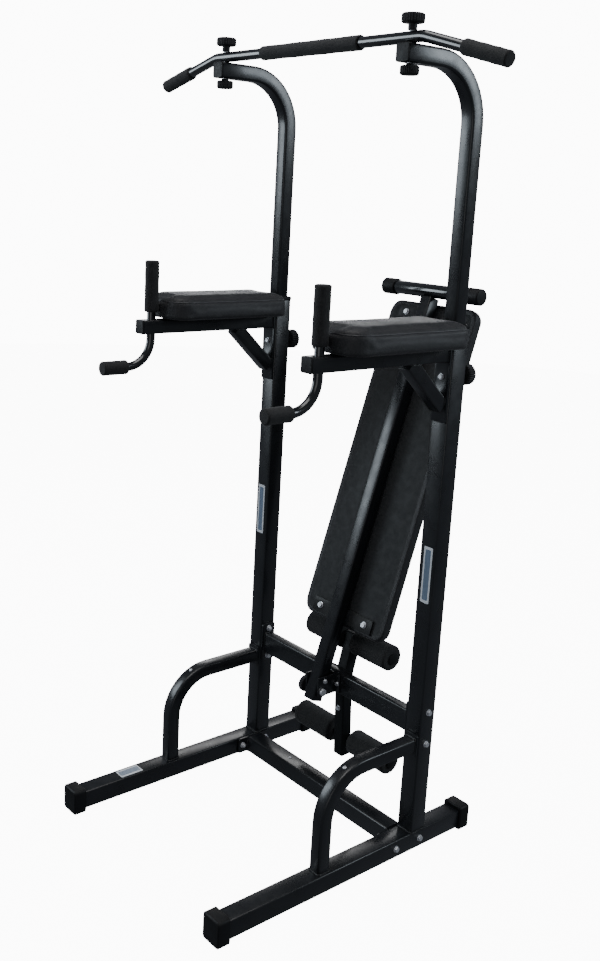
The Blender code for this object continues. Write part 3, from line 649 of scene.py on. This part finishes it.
def hex_head(bm, at, axis, flats, height):
    """A chamfered hexagon head or nut; at is its seat."""
    r = flats / 2
    cut = 1.075  # the chamfer's circle, as a share of the ring it cuts
    chamfer = [(r * 0.95, height), (r * 0.5, height)]
    profile = [(r * 0.94, 0.0), (r, height * 0.08), (r, height * 0.80)] + chamfer

    def shape(angle, radius):
        full = hexagon(angle, radius)
        return min(full, radius * cut) if radius < r else full
    turn(bm, profile, at, axis, 48, shape)


def washer(bm, at, axis, outer, thick):
    turn(bm, rounded(outer / 2, thick, thick * 0.3, 2), at, axis, 36)


def thread_end(bm, at, axis, d, length):
    """The end of a bolt standing out of its nut, with a few thread ridges."""
    pitch = 0.00125
    point = 0.0008  # the tapered end past the last ridge
    turns = max(2, int(length / pitch))
    profile = [(d / 2, 0.0)]
    for i in range(turns):
        profile += [(d / 2 * 0.87, (i + 0.5) * pitch), (d / 2, (i + 1) * pitch)]
    profile.append((d / 2 * 0.8, turns * pitch + point))
    turn(bm, profile, at, axis, 24)


def bolt(name, body, spots, axis, flats, nut=False):
    """Bolt heads, or nuts with thread ends, on washers; sizes are shares of the width across flats."""
    run = Vector(axis).normalized()
    bm = bmesh.new()
    thick = flats * 0.12
    for spot in spots:
        seat = Vector(spot)
        washer(bm, seat, run, flats * 1.35, thick)
        hex_head(bm, seat + run * thick, run, flats, flats * (0.50 if nut else 0.41))
        if nut:
            thread_end(bm, seat + run * (thick + flats * 0.45), run, flats * 0.6, flats * 0.30)
    add(name, bm, ZINC, body, 30)


def screw(name, spot, axis):
    """A domed screw head with a shallow round dimple, sunk a little into the tube."""
    r = 0.005
    rim = [(r, -0.0006), (r, 0.0008), (r * 0.86, 0.0019)]
    crest = [(r * 0.60, 0.0026), (r * 0.34, 0.0028), (r * 0.26, 0.0016)]
    bm = bmesh.new()
    turn(bm, rim + crest, spot, Vector(axis).normalized(), 32)
    add(name, bm, ZINC, "base", 40)


def build_screws():
    """Screw heads on the bends of the handrails and one on the left of the base crossbar."""
    screw("base_bar_screw", (BASE_SCREW_X, BASE_BAR.y, BASE_BAR.z + BASE_BAR_W / 2), Z)
    for side, sign in SIDES:
        away = Vector((0, -math.cos(SCREW_AT), math.sin(SCREW_AT)))
        spot = Vector((sign * POST_X, RAIL_BEND.y, RAIL_BEND.z)) + away * RAIL_OUTSIDE
        screw(f"rail_screw_{side}", spot, away)


def build_flange_bolts(side, sign):
    """Heads outside the foot and the upright, and nuts inside the crossbars' flanges."""
    outer = sign * (POST_X + POST_W / 2)
    inner = sign * (BAR_END - FLANGE_T)
    foot = [(BASE_BAR.y + out, BASE_BAR.z + BASE_BOLT_RISE) for out in (-BOLT_OUT, BOLT_OUT)]
    post = [(POST_Y, MID_BAR.z + out) for out in (-BOLT_OUT, BOLT_OUT)]
    bolt(f"base_bolts_{side}", "base", [(outer, *at) for at in foot], (sign, 0, 0), BIG_HEX)
    bolt(f"mid_bolts_{side}", "base", [(outer, *at) for at in post], (sign, 0, 0), BIG_HEX)
    bolt(f"base_nuts_{side}", "base", [(inner, *at) for at in foot], (-sign, 0, 0), BIG_HEX, nut=True)
    bolt(f"mid_nuts_{side}", "base", [(inner, *at) for at in post], (-sign, 0, 0), BIG_HEX, nut=True)


def build_bracket_bolts():
    """Bolts of the bench's bracket and the hook post at the mid crossbar, and one lower in the post."""
    out, front = BRACKET_BOLTS
    wings = [(sign * out, POST_Y - front, MID_BAR.z) for _, sign in SIDES]
    bolt("bracket_bolts", "base", wings, (0, -1, 0), SMALL_HEX)
    out, back = HOOK_BOLTS
    wings = [(sign * out, POST_Y + back, MID_BAR.z) for _, sign in SIDES]
    bolt("hook_post_bolts", "base", wings, (0, 1, 0), SMALL_HEX)
    bolt("hook_post_front_bolt", "base", [HOOK_FRONT], HOOK_FRONT_WAY, MID_HEX)


def build_fasteners():
    for side, sign in SIDES:
        build_flange_bolts(side, sign)
        arm = [(sign * POST_X, PLATE_FACE, ARM_BOLT_Z)]
        bolt(f"armrest_bolt_{side}", "base", arm, (0, -1, 0), MID_HEX)
        ear = [(sign * STOP_AT.x, PIVOT.y + STOP_AT.y, PIVOT.z + STOP_AT.z)]
        bolt(f"bench_stop_bolt_{side}", "base", ear, (sign, 0, 0), STOP_HEX, nut=sign < 0)
    build_bracket_bolts()
    away = BENCH.to_3x3() @ Vector((0, -1, 0))
    out, seat = PAD_BOLTS
    for level, at in PAD_BOLTS_AT:
        spots = [BENCH @ Vector((sign * out, seat, at)) for _, sign in SIDES]
        bolt(f"bench_pad_bolts_{level}", "bench", spots, away, BIG_HEX)


# ---------------------------------------------------------------- knobs

KNOB_RIBS = 28
RIB_DEPTH = 0.0016
RIBBED_FROM = 0.015  # inside this radius a knob has no ribs
KNOB_BORE = 0.0126
KNOB_BORE_DEPTH = 0.010
CLAMP_TOP = (0.020, 0.020, 0.014)  # thickness, the neck's width, the neck's length
CLAMP_LOW = (0.020, 0.018, 0.004)
HEIGHT_KNOB = (0.024, 0.022, 0.009)
BENCH_KNOB = (0.016, 0.020, 0.006)
SCREW_R = 0.005  # the height knobs' screws, and how far they run into the knob
SCREW_IN = 0.008


def ribbed(angle, radius):
    """The radius of a knob, dented between its ribs."""
    if radius < RIBBED_FROM:
        return radius
    return radius - RIB_DEPTH * (0.5 - 0.5 * math.cos(KNOB_RIBS * angle)) ** 2


def knob_outline(r, thick, neck_r, neck):
    """A knob's bore, hub, rounded rim and grooved top, as (radius, height) pairs."""
    under = 0.004  # radius of the rim's edge towards the hub, and of the outer one
    over = 0.005
    bevel = 0.001
    groove = 0.0012
    top = neck + thick
    bore = [(0.0005, KNOB_BORE_DEPTH), (KNOB_BORE / 2, KNOB_BORE_DEPTH), (KNOB_BORE / 2, 0.0)]
    hub = [(neck_r - bevel, 0.0), (neck_r, bevel), (neck_r, neck - bevel)]
    rim = [(r - under + under * math.sin(a), neck + under - under * math.cos(a)) for a in quarter(6)]
    rim += [(r - over + over * math.cos(a), top - over + over * math.sin(a)) for a in quarter(6)]
    ditch = [(r * 0.62, top), (r * 0.58, top - groove), (r * 0.54, top - groove), (r * 0.50, top)]
    return bore + hub + rim + ditch + [(r * 0.2, top + 0.0002)]


def knob_look(node, foot, axis, d, sizes):
    """A ribbed hand knob that stands on foot."""
    thick, neck_w, neck = sizes
    bm = bmesh.new()
    turn(bm, knob_outline(d / 2, thick, neck_w / 2, neck), foot, axis, KNOB_RIBS * 6, ribbed)
    obj = add(f"{node}_look", bm, KNOB, node, 40)
    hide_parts(node)


def height_knob(side):
    """A lock knob and the screw that it turns."""
    node = f"height_knob_{side}"
    front, back = ends(node, 1)
    foot = front.copy()
    foot.y = back.y - HEIGHT_KNOB[0] - HEIGHT_KNOB[2]
    knob_look(node, foot, Y, width(node, 0), HEIGHT_KNOB)
    bm = bmesh.new()
    turn(bm, [(SCREW_R, 0.0), (SCREW_R, foot.y - front.y + SCREW_IN)], front, Y, 24)
    add(f"height_screw_{side}", bm, ZINC, node)


def build_knobs():
    for side, _ in SIDES:
        node = f"clamp_knob_top_{side}"
        knob_look(node, ends(node, 2)[0], Z, width(node, 0), CLAMP_TOP)
        node = f"clamp_knob_low_{side}"
        knob_look(node, ends(node, 2)[1], -Z, width(node, 0), CLAMP_LOW)
        height_knob(side)
    foot = (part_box("bench_knob")[1].x, PIVOT.y, PIVOT.z)
    knob_look("bench_knob", foot, -X, width("bench_knob", 2), BENCH_KNOB)


# ---------------------------------------------------------------- weld beads

BEAD_R = 0.0021
BEAD_STEP = 0.0008  # along the bead, between two rings of points
RIPPLE = 0.0034  # length of one ripple
RIPPLE_SHARE = 0.13
WELD_UP = 0.001  # beads on the foot tubes lie this far above them
WELD_IN = 0.0055  # beads on the crossbars, from the outer face of the flange


def weld(name, corners, normal):
    """A rippled weld bead round a closed loop of corner points."""
    points = dense(corners, BEAD_STEP)
    total = len(points)
    rings = []
    for i, p in enumerate(points):
        run = (points[(i + 2) % total] - points[i - 2]).normalized()
        side = run.cross(normal).normalized()
        r = BEAD_R * (1 + RIPPLE_SHARE * math.sin(2 * math.pi * i * BEAD_STEP / RIPPLE))
        rings.append(circle(p, side, normal, r, 8))
    bm = bmesh.new()
    skin(bm, rings, closed=True)
    add(name, bm, PAINT, "base", 60)


def build_welds():
    rail_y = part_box("handrail_right")[0].y + RAIL_W / 2
    low_z, low_cut = BRACE_LOW
    high_out, high_cut = BRACE_HIGH
    for side, sign in SIDES:
        x = sign * POST_X
        inner = sign * (BAR_END - WELD_IN)
        foot = FOOT_TOP + WELD_UP
        weld(f"upright_weld_{side}", square((x, POST_Y, foot), X, Y, POST_W, POST_W), Z)
        weld(f"rail_weld_{side}", square((x, rail_y, foot), X, Y, RAIL_W, RAIL_W, RAIL_CORNER), Z)
        plate = (x, PLATE_FACE, RAIL_PLATE_Z)
        weld(f"rail_plate_weld_{side}", square(plate, X, Z, RAIL_W, RAIL_W, RAIL_CORNER), Y)
        weld(f"arm_weld_{side}", square((x, PLATE_FACE, ARM_Z), X, Z, ARM_W, ARM_W), Y)
        under = (x, POST_Y - high_out, ARM_Z - ARM_W / 2)
        weld(f"brace_weld_high_{side}", square(under, X, Y, ARM_W, high_cut), Z)
        weld(f"brace_weld_low_{side}", square((x, PLATE_FACE, low_z), X, Z, ARM_W, low_cut), Y)
        weld(f"mid_weld_{side}", square((inner, POST_Y, MID_BAR.z), Y, Z, *MID_BAR_SIZE), X)
        base = (inner, BASE_BAR.y, BASE_BAR.z)
        weld(f"base_weld_{side}", square(base, Y, Z, BASE_BAR_W, BASE_BAR_W), X)


# ---------------------------------------------------------------- upholstery

PANEL_ROUND = 0.026  # how far in a pad's top panel stays rounded
PANEL_RISE = 0.055  # and how far in it still rises a little
EDGE_SHARE = 0.88  # of the panel's rise, as much as this is in its rounded edge
BAND_GIVE = 0.0015  # the most that inflation may move the stretched side band
TOP_GIVE = 0.005  # and the top panel
HELD_BELOW = 0.004  # the cover is fixed to its board up to here
VOXEL = 0.005
SEAM_IN = 0.002  # how far inside the outline the seam runs, how deep and how wide it presses
SEAM_DEPTH = 0.0020
SEAM_WIDTH = 0.004
SEAM_STEP = 0.004  # along the seam, between two points
WELT_R = 0.0018
WELT_SINK = 0.0004
BACKING_IN = 0.016  # the border of turned-under vinyl round the backing
BACKING_EDGE_R = 0.0005
BACKING_EDGE_Z = 0.0002
BACKING_EDGE_STEP = 0.006

ARM_PAD_CORNERS = (0.018, 0.052)  # radius of the back and of the front corners
ARM_PAD_BAND = 0.045
ARM_PAD_FILL = 0.8
BENCH_PAD_CORNERS = (0.034, 0.034)
BENCH_PAD_BAND = 0.030
BENCH_PAD_FILL = 0.75
BENCH_PAD_THICK = 0.042
BENCH_PAD_HALF_W = 0.158
BENCH_PAD_START = 0.182  # along the bench, from the pivot
BENCH_PAD_END = 1.113
BENCH_PAD_SEAT = 0.0243  # the pad's underside, from the bench's axis


def pad_loop(w, length, r_back, r_front):
    """A pad's outline: one corner radius at +Y, one at -Y, with points along its sides."""
    steps = 8
    spacing = 0.02
    corners = ((1, 1, 0, r_back), (-1, 1, 90, r_back), (-1, -1, 180, r_front), (1, -1, 270, r_front))
    turns = []
    for sx, sy, start, r in corners:
        centre = Vector((sx * (w / 2 - r), sy * (length / 2 - r)))
        spokes = [math.radians(start + 90 * i / steps) for i in range(steps + 1)]
        turns.append([centre + Vector((math.cos(a), math.sin(a))) * r for a in spokes])
    points = []
    for here, there in zip(turns, turns[1:] + turns[:1]):
        points += here
        sides = max(2, int((there[0] - here[-1]).length / spacing))
        points += [here[-1].lerp(there[0], i / sides) for i in range(1, sides)]
    return points


def shrunk(loop, amount):
    """The loop moved inward along its own normals."""
    count = len(loop)
    out = []
    for i, p in enumerate(loop):
        along = (loop[(i + 1) % count] - loop[i - 1]).normalized()
        out.append(p + Vector((-along.y, along.x)) * amount)
    return out


def inset(p, half, r_back, r_front):
    """How far inside its outline a point of a pad lies; half is its half width and half length."""
    r = r_back if p.y > 0 else r_front
    out_x = abs(p.x) - (half.x - r)
    out_y = abs(p.y) - (half.y - r)
    return r - math.hypot(max(out_x, 0), max(out_y, 0)) - min(max(out_x, out_y), 0)


def crown(depth, rise):
    """Height of the top panel above its seam, this far in: round at the edge, then almost flat."""
    edge = 1 - min(depth / PANEL_ROUND, 1)
    flat = min(depth / PANEL_RISE, 1)
    return EDGE_SHARE * rise * (1 - edge ** 3) ** 0.6 + (1 - EDGE_SHARE) * rise * flat


def cushion_start(loop, half, corners, thick, band):
    """The pad before it is inflated: flat below, upright band, then a crowned top."""
    at_seam = 0.0014  # how far in the band stands at its upper edge, and along its height
    at_band = 0.0008
    bottom = [(0.0, 0.003), (0.0015, 0.0015), (0.005, at_band)]  # height, how far in
    steps = 15
    rings = []
    for z, inward in bottom + [(band - 0.006, at_band), (band, at_seam)]:
        rings.append([Vector((p.x, p.y, z)) for p in shrunk(loop, inward)])
    spine = half.y - half.x
    edge = shrunk(loop, at_seam)
    for i in range(1, steps + 1):
        t = (i / (steps + 0.4)) ** 1.3  # ends just short of the spine, with closer rings at the edge
        ring = []
        for p in edge:
            q = p.lerp(Vector((0, max(-spine, min(spine, p.y)))), t)
            ring.append(Vector((q.x, q.y, band + crown(inset(q, half, *corners), thick - band))))
        rings.append(ring)
    bm = bmesh.new()
    skin(bm, rings)
    return bm


def apply_all(obj):
    """Replaces the object's mesh with its evaluated one and clears its modifiers."""
    graph = bpy.context.evaluated_depsgraph_get()
    mesh = bpy.data.meshes.new_from_object(obj.evaluated_get(graph))
    obj.modifiers.clear()
    old = obj.data
    obj.data = mesh
    bpy.data.meshes.remove(old)


def add_cloth(obj):
    """A light, stiff cover under pressure, fixed where it lies on its board."""
    held = obj.vertex_groups.new(name="held")
    held.add([v.index for v in obj.data.vertices if v.co.z < HELD_BELOW], 1.0, "REPLACE")
    cloth = obj.modifiers.new("cloth", "CLOTH")
    cloth.settings.quality = 6
    cloth.settings.mass = 0.35
    cloth.settings.tension_stiffness = 18
    cloth.settings.compression_stiffness = 12
    cloth.settings.bending_stiffness = 0.4
    cloth.settings.use_pressure = True
    cloth.settings.uniform_pressure_force = 4.0
    cloth.settings.effector_weights.gravity = 0.0
    cloth.settings.vertex_group_mass = "held"


def inflate(obj, band):
    """Voxel remesh, then Cloth with pressure; no point moves further than its give."""
    last_frame = 20
    remesh = obj.modifiers.new("remesh", "REMESH")
    remesh.mode = "VOXEL"
    remesh.voxel_size = VOXEL
    apply_all(obj)
    before = [v.co.copy() for v in obj.data.vertices]
    add_cloth(obj)
    scene = bpy.context.scene
    for number in range(1, last_frame + 1):
        scene.frame_set(number)
    apply_all(obj)
    scene.frame_set(1)
    for v, start in zip(obj.data.vertices, before):
        move = v.co - start
        most = BAND_GIVE if start.z < band else TOP_GIVE
        if move.length > most:
            v.co = start + move.normalized() * most


def relax(obj):
    """Smooths the voxel steps away."""
    smooth = obj.modifiers.new("relax", "SMOOTH")
    smooth.iterations = 3
    smooth.factor = 0.5
    apply_all(obj)


def refine(obj):
    """Rounds the mesh off with one level of subdivision."""
    fine = obj.modifiers.new("fine", "SUBSURF")
    fine.levels = 1
    fine.render_levels = 1
    apply_all(obj)


def sew(obj, loop, height):
    """Presses the seam line into the cushion where the top panel meets the band."""
    seam = [Vector((p.x, p.y, height)) for p in loop]
    tree = KDTree(len(seam))
    for i, p in enumerate(seam):
        tree.insert(p, i)
    tree.balance()
    for v in obj.data.vertices:
        _, index, dist = tree.find(v.co)
        if dist < 3 * SEAM_WIDTH:
            pull = SEAM_DEPTH * math.exp(-((dist / SEAM_WIDTH) ** 2))
            to_middle = Vector((-seam[index].x, -seam[index].y, 0)).normalized()
            v.co += (to_middle * 0.8 - Z * 0.4) * pull  # mostly inward, and a little down


def settled(obj, line, height):
    """The seam line moved in or out until it lies on the cushion's own surface."""
    past = 0.02  # the ray starts this far outside
    reach = 0.05
    tree = BVHTree.FromPolygons([v.co for v in obj.data.vertices], [p.vertices for p in obj.data.polygons])
    count = len(line)
    out = []
    for i, p in enumerate(line):
        along = (line[(i + 1) % count] - line[i - 1]).normalized()
        away = Vector((along.y, -along.x, 0))
        at = Vector((p.x, p.y, height))
        hit = tree.ray_cast(at + away * past, -away, reach)[0]
        out.append(hit - away * WELT_SINK if hit else at)
    return [(out[i - 1] + out[i] * 2 + out[(i + 1) % count]) / 4 for i in range(count)]


def piping(name, body, points, radius, matrix):
    """A round cord along a closed line, such as the welt sewn into a seam."""
    count = len(points)
    rings = []
    for i, p in enumerate(points):
        run = (points[(i + 1) % count] - points[i - 1]).normalized()
        side = run.cross(Z).normalized()
        rings.append([matrix @ q for q in circle(p, side, side.cross(run), radius, 12)])
    bm = bmesh.new()
    skin(bm, rings, closed=True)
    add(name, bm, WELT, body, 60)


def backing(name, body, loop, matrix):
    """The cloth under the pad, inside a bound edge and a border of turned-under vinyl."""
    inner = shrunk(loop, BACKING_IN)
    inside = 0.0008  # how far the cloth reaches into the pad, and how far it stands out
    outside = 0.0002
    bevel = 0.0008
    rings = []
    for z, more in ((inside, 0.0), (-outside, 0.0), (-outside, bevel)):
        rings.append([matrix @ Vector((p.x, p.y, z)) for p in shrunk(inner, more)])
    bm = bmesh.new()
    skin(bm, rings)
    add(name, bm, BOARD, body, 30)
    edge = [Vector((p.x, p.y, BACKING_EDGE_Z)) for p in dense(inner, BACKING_EDGE_STEP)]
    piping(f"{name}_edge", body, edge, BACKING_EDGE_R, matrix)


def cushion(node, body, half, corners, thick, band, matrix, fill):
    """One upholstered pad: inflated cover, welt, backing cloth and its bound edge."""
    room = 0.0015  # left above the crown for inflation
    loop = pad_loop(half.x * 2, half.y * 2, *corners)
    bm = cushion_start(loop, half, corners, thick - room, band)
    obj = add(f"{node}_look", bm, VINYL, body, 0)
    inflate(obj, band)
    relax(obj)
    seam = dense(shrunk(loop, SEAM_IN), SEAM_STEP)
    sew(obj, seam, band)
    refine(obj)
    welt = settled(obj, seam, band)
    obj.data.transform(matrix)
    obj.data.shade_smooth()
    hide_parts(node)
    piping(f"{node}_welt", body, welt, WELT_R, matrix)
    backing(f"{node}_backing", body, loop, matrix)


def build_pads():
    for side, _ in SIDES:
        node = f"armrest_pad_{side}"
        low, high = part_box(node)
        centre = (low + high) / 2
        size = high - low
        place = Matrix.Translation((centre.x, centre.y, low.z))
        cushion(node, "base", size / 2, ARM_PAD_CORNERS, size.z, ARM_PAD_BAND, place, ARM_PAD_FILL)
    half = Vector((BENCH_PAD_HALF_W, (BENCH_PAD_END - BENCH_PAD_START) / 2, 0))
    centre = (BENCH_PAD_START + BENCH_PAD_END) / 2
    stand = Matrix(((1, 0, 0, 0), (0, 0, 1, BENCH_PAD_SEAT), (0, -1, 0, centre), (0, 0, 0, 1)))
    place = BENCH @ stand
    shape = (half, BENCH_PAD_CORNERS, BENCH_PAD_THICK, BENCH_PAD_BAND)
    cushion("bench_pad", "bench", *shape, place, BENCH_PAD_FILL)


# ---------------------------------------------------------------- blank labels

LABEL_BACK = 0.0001  # heights above the tube: the label's back, its face and its bar's face
LABEL_FACE = 0.0003
LABEL_BAR_FACE = 0.0005
LABEL_CORNER = 0.003
POST_LABEL = (0.028, 0.146)
POST_LABEL_Z = 0.767
POST_LABEL_OUT = 0.002  # off the upright's middle
FOOT_LABEL = (0.036, 0.070)
FOOT_LABEL_Y = -0.300


def label(name, centre, u, v, size):
    """A blank two-tone label, with no lettering."""
    w, h = size
    out = u.cross(v).normalized()
    pale = ("", LABEL_PALE, w, h, LABEL_FACE)
    bar = ("_bar", LABEL_BLUE, w * 0.62, h * 0.90, LABEL_BAR_FACE)
    for tag, mat, part_w, part_h, face in (pale, bar):
        loop = square(centre, u, v, part_w, part_h, LABEL_CORNER)
        bm = bmesh.new()
        skin(bm, [[p + out * LABEL_BACK for p in loop], [p + out * face for p in loop]])
        add(f"{name}{tag}", bm, mat, "base", 30)


def build_labels():
    front = POST_Y - POST_W / 2
    for side, sign in SIDES:
        label(f"label_{side}", (sign * (POST_X + POST_LABEL_OUT), front, POST_LABEL_Z), X, Z, POST_LABEL)
    label("label_foot", (-POST_X, FOOT_LABEL_Y, FOOT_TOP), X, Y, FOOT_LABEL)


# ---------------------------------------------------------------- studio

STAGE_R = 9.0  # floor and backdrop
FLOOR_GLOW = 11.0
BACKDROP_GLOW = 11.6
SKY = (0.80, 0.88, 1.0, 1.0)
SKY_STRENGTH = 0.14
COOL = (0.82, 0.92, 1.0)
NEUTRAL = (1, 1, 1)


def glowing(name, strength):
    """A pale studio surface that lifts itself close to white."""
    g = Graph(name, (0.80, 0.80, 0.81))
    g.set(Emission_Color=(1.0, 1.0, 1.0, 1.0), Emission_Strength=strength)
    g.roughness(g.noise(3.0, 3.0), 0.70, 0.80)
    return g.mat


def stage_piece(name, bm, strength):
    """A piece of the studio that only the camera sees, so it isn't seen in the gloss."""
    obj = linked(name, mesh_of(name, bm, glowing(f"pale_{name}", strength)))
    obj.visible_diffuse = False
    obj.visible_glossy = False
    obj.visible_transmission = False
    obj.visible_shadow = False


def build_stage():
    """A pale floor that runs into a pale round backdrop, under a dim cool sky."""
    bm = bmesh.new()
    bmesh.ops.create_circle(bm, cap_ends=True, segments=96, radius=STAGE_R)
    stage_piece("floor", bm, FLOOR_GLOW)
    bm = bmesh.new()
    bmesh.ops.create_uvsphere(bm, u_segments=96, v_segments=48, radius=STAGE_R)
    stage_piece("backdrop", bm, BACKDROP_GLOW)
    world = bpy.data.worlds.new("studio")
    bpy.context.scene.world = world
    world.use_nodes = True
    sky = world.node_tree.nodes["Background"]
    sky.inputs["Color"].default_value = SKY
    sky.inputs["Strength"].default_value = SKY_STRENGTH


def softbox(name, at, target, size, power, color):
    """A rectangular area light at a place, turned to its target."""
    data = bpy.data.lights.new(name, "AREA")
    data.shape = "RECTANGLE"
    data.size, data.size_y = size
    data.energy = power
    data.color = color
    obj = linked(name, data)
    obj.location = at
    aim = Vector(target) - Vector(at)
    obj.rotation_mode = "QUATERNION"
    obj.rotation_quaternion = aim.to_track_quat("-Z", "Y")
    obj.visible_camera = False


def build_lights():
    """Soft boxes placed where the tubes' faces mirror them: front left, back right, back left, above;
    the fill stands beside the camera."""
    softbox("front_left", (-2.8, -2.6, 2.2), (0, 0.1, 1.35), (1.7, 2.1), 66, COOL)
    softbox("back_right", (3.1, 2.9, 2.75), (0.1, 0.1, 1.7), (1.8, 1.3), 55, COOL)
    softbox("back_left", (-3.0, 2.6, 2.1), (0, 0.1, 1.4), (2.4, 0.9), 22, NEUTRAL)
    softbox("above", (0.2, -0.6, 4.7), (0, 0.1, 1.0), (3.0, 3.0), 80, NEUTRAL)
    softbox("fill", (2.6, -3.4, 1.9), (0, 0, 1.2), (2.4, 2.4), 13, NEUTRAL)


def build_camera():
    """A normal lens at standing height, off the front right corner of the machine."""
    place = (1.9906, -1.7792, 1.6670)
    azimuth = math.radians(50.611)
    elevation = math.radians(-13.184)
    roll = math.radians(2.697)
    flat = math.cos(elevation)
    ahead = Vector((-math.sin(azimuth) * flat, math.cos(azimuth) * flat, math.sin(elevation)))
    level = Vector((math.cos(azimuth), math.sin(azimuth), 0))
    over = level.cross(ahead)
    right = level * math.cos(roll) + over * math.sin(roll)
    up = over * math.cos(roll) - level * math.sin(roll)
    data = bpy.data.cameras.new("camera")
    data.sensor_width = 36.0
    data.lens = 40.0
    data.shift_x = 0.0416
    data.shift_y = -0.0383
    camera = linked("camera", data)
    turned = Matrix((right, up, -ahead)).transposed().to_4x4()
    camera.matrix_world = Matrix.Translation(place) @ turned
    bpy.context.scene.camera = camera


finish_nodes()
build_stage()
build_lights()
build_camera()
build_bar_foam()
build_grips()
build_rollers()
build_fasteners()
build_screws()
build_knobs()
build_welds()
build_pads()
build_labels()
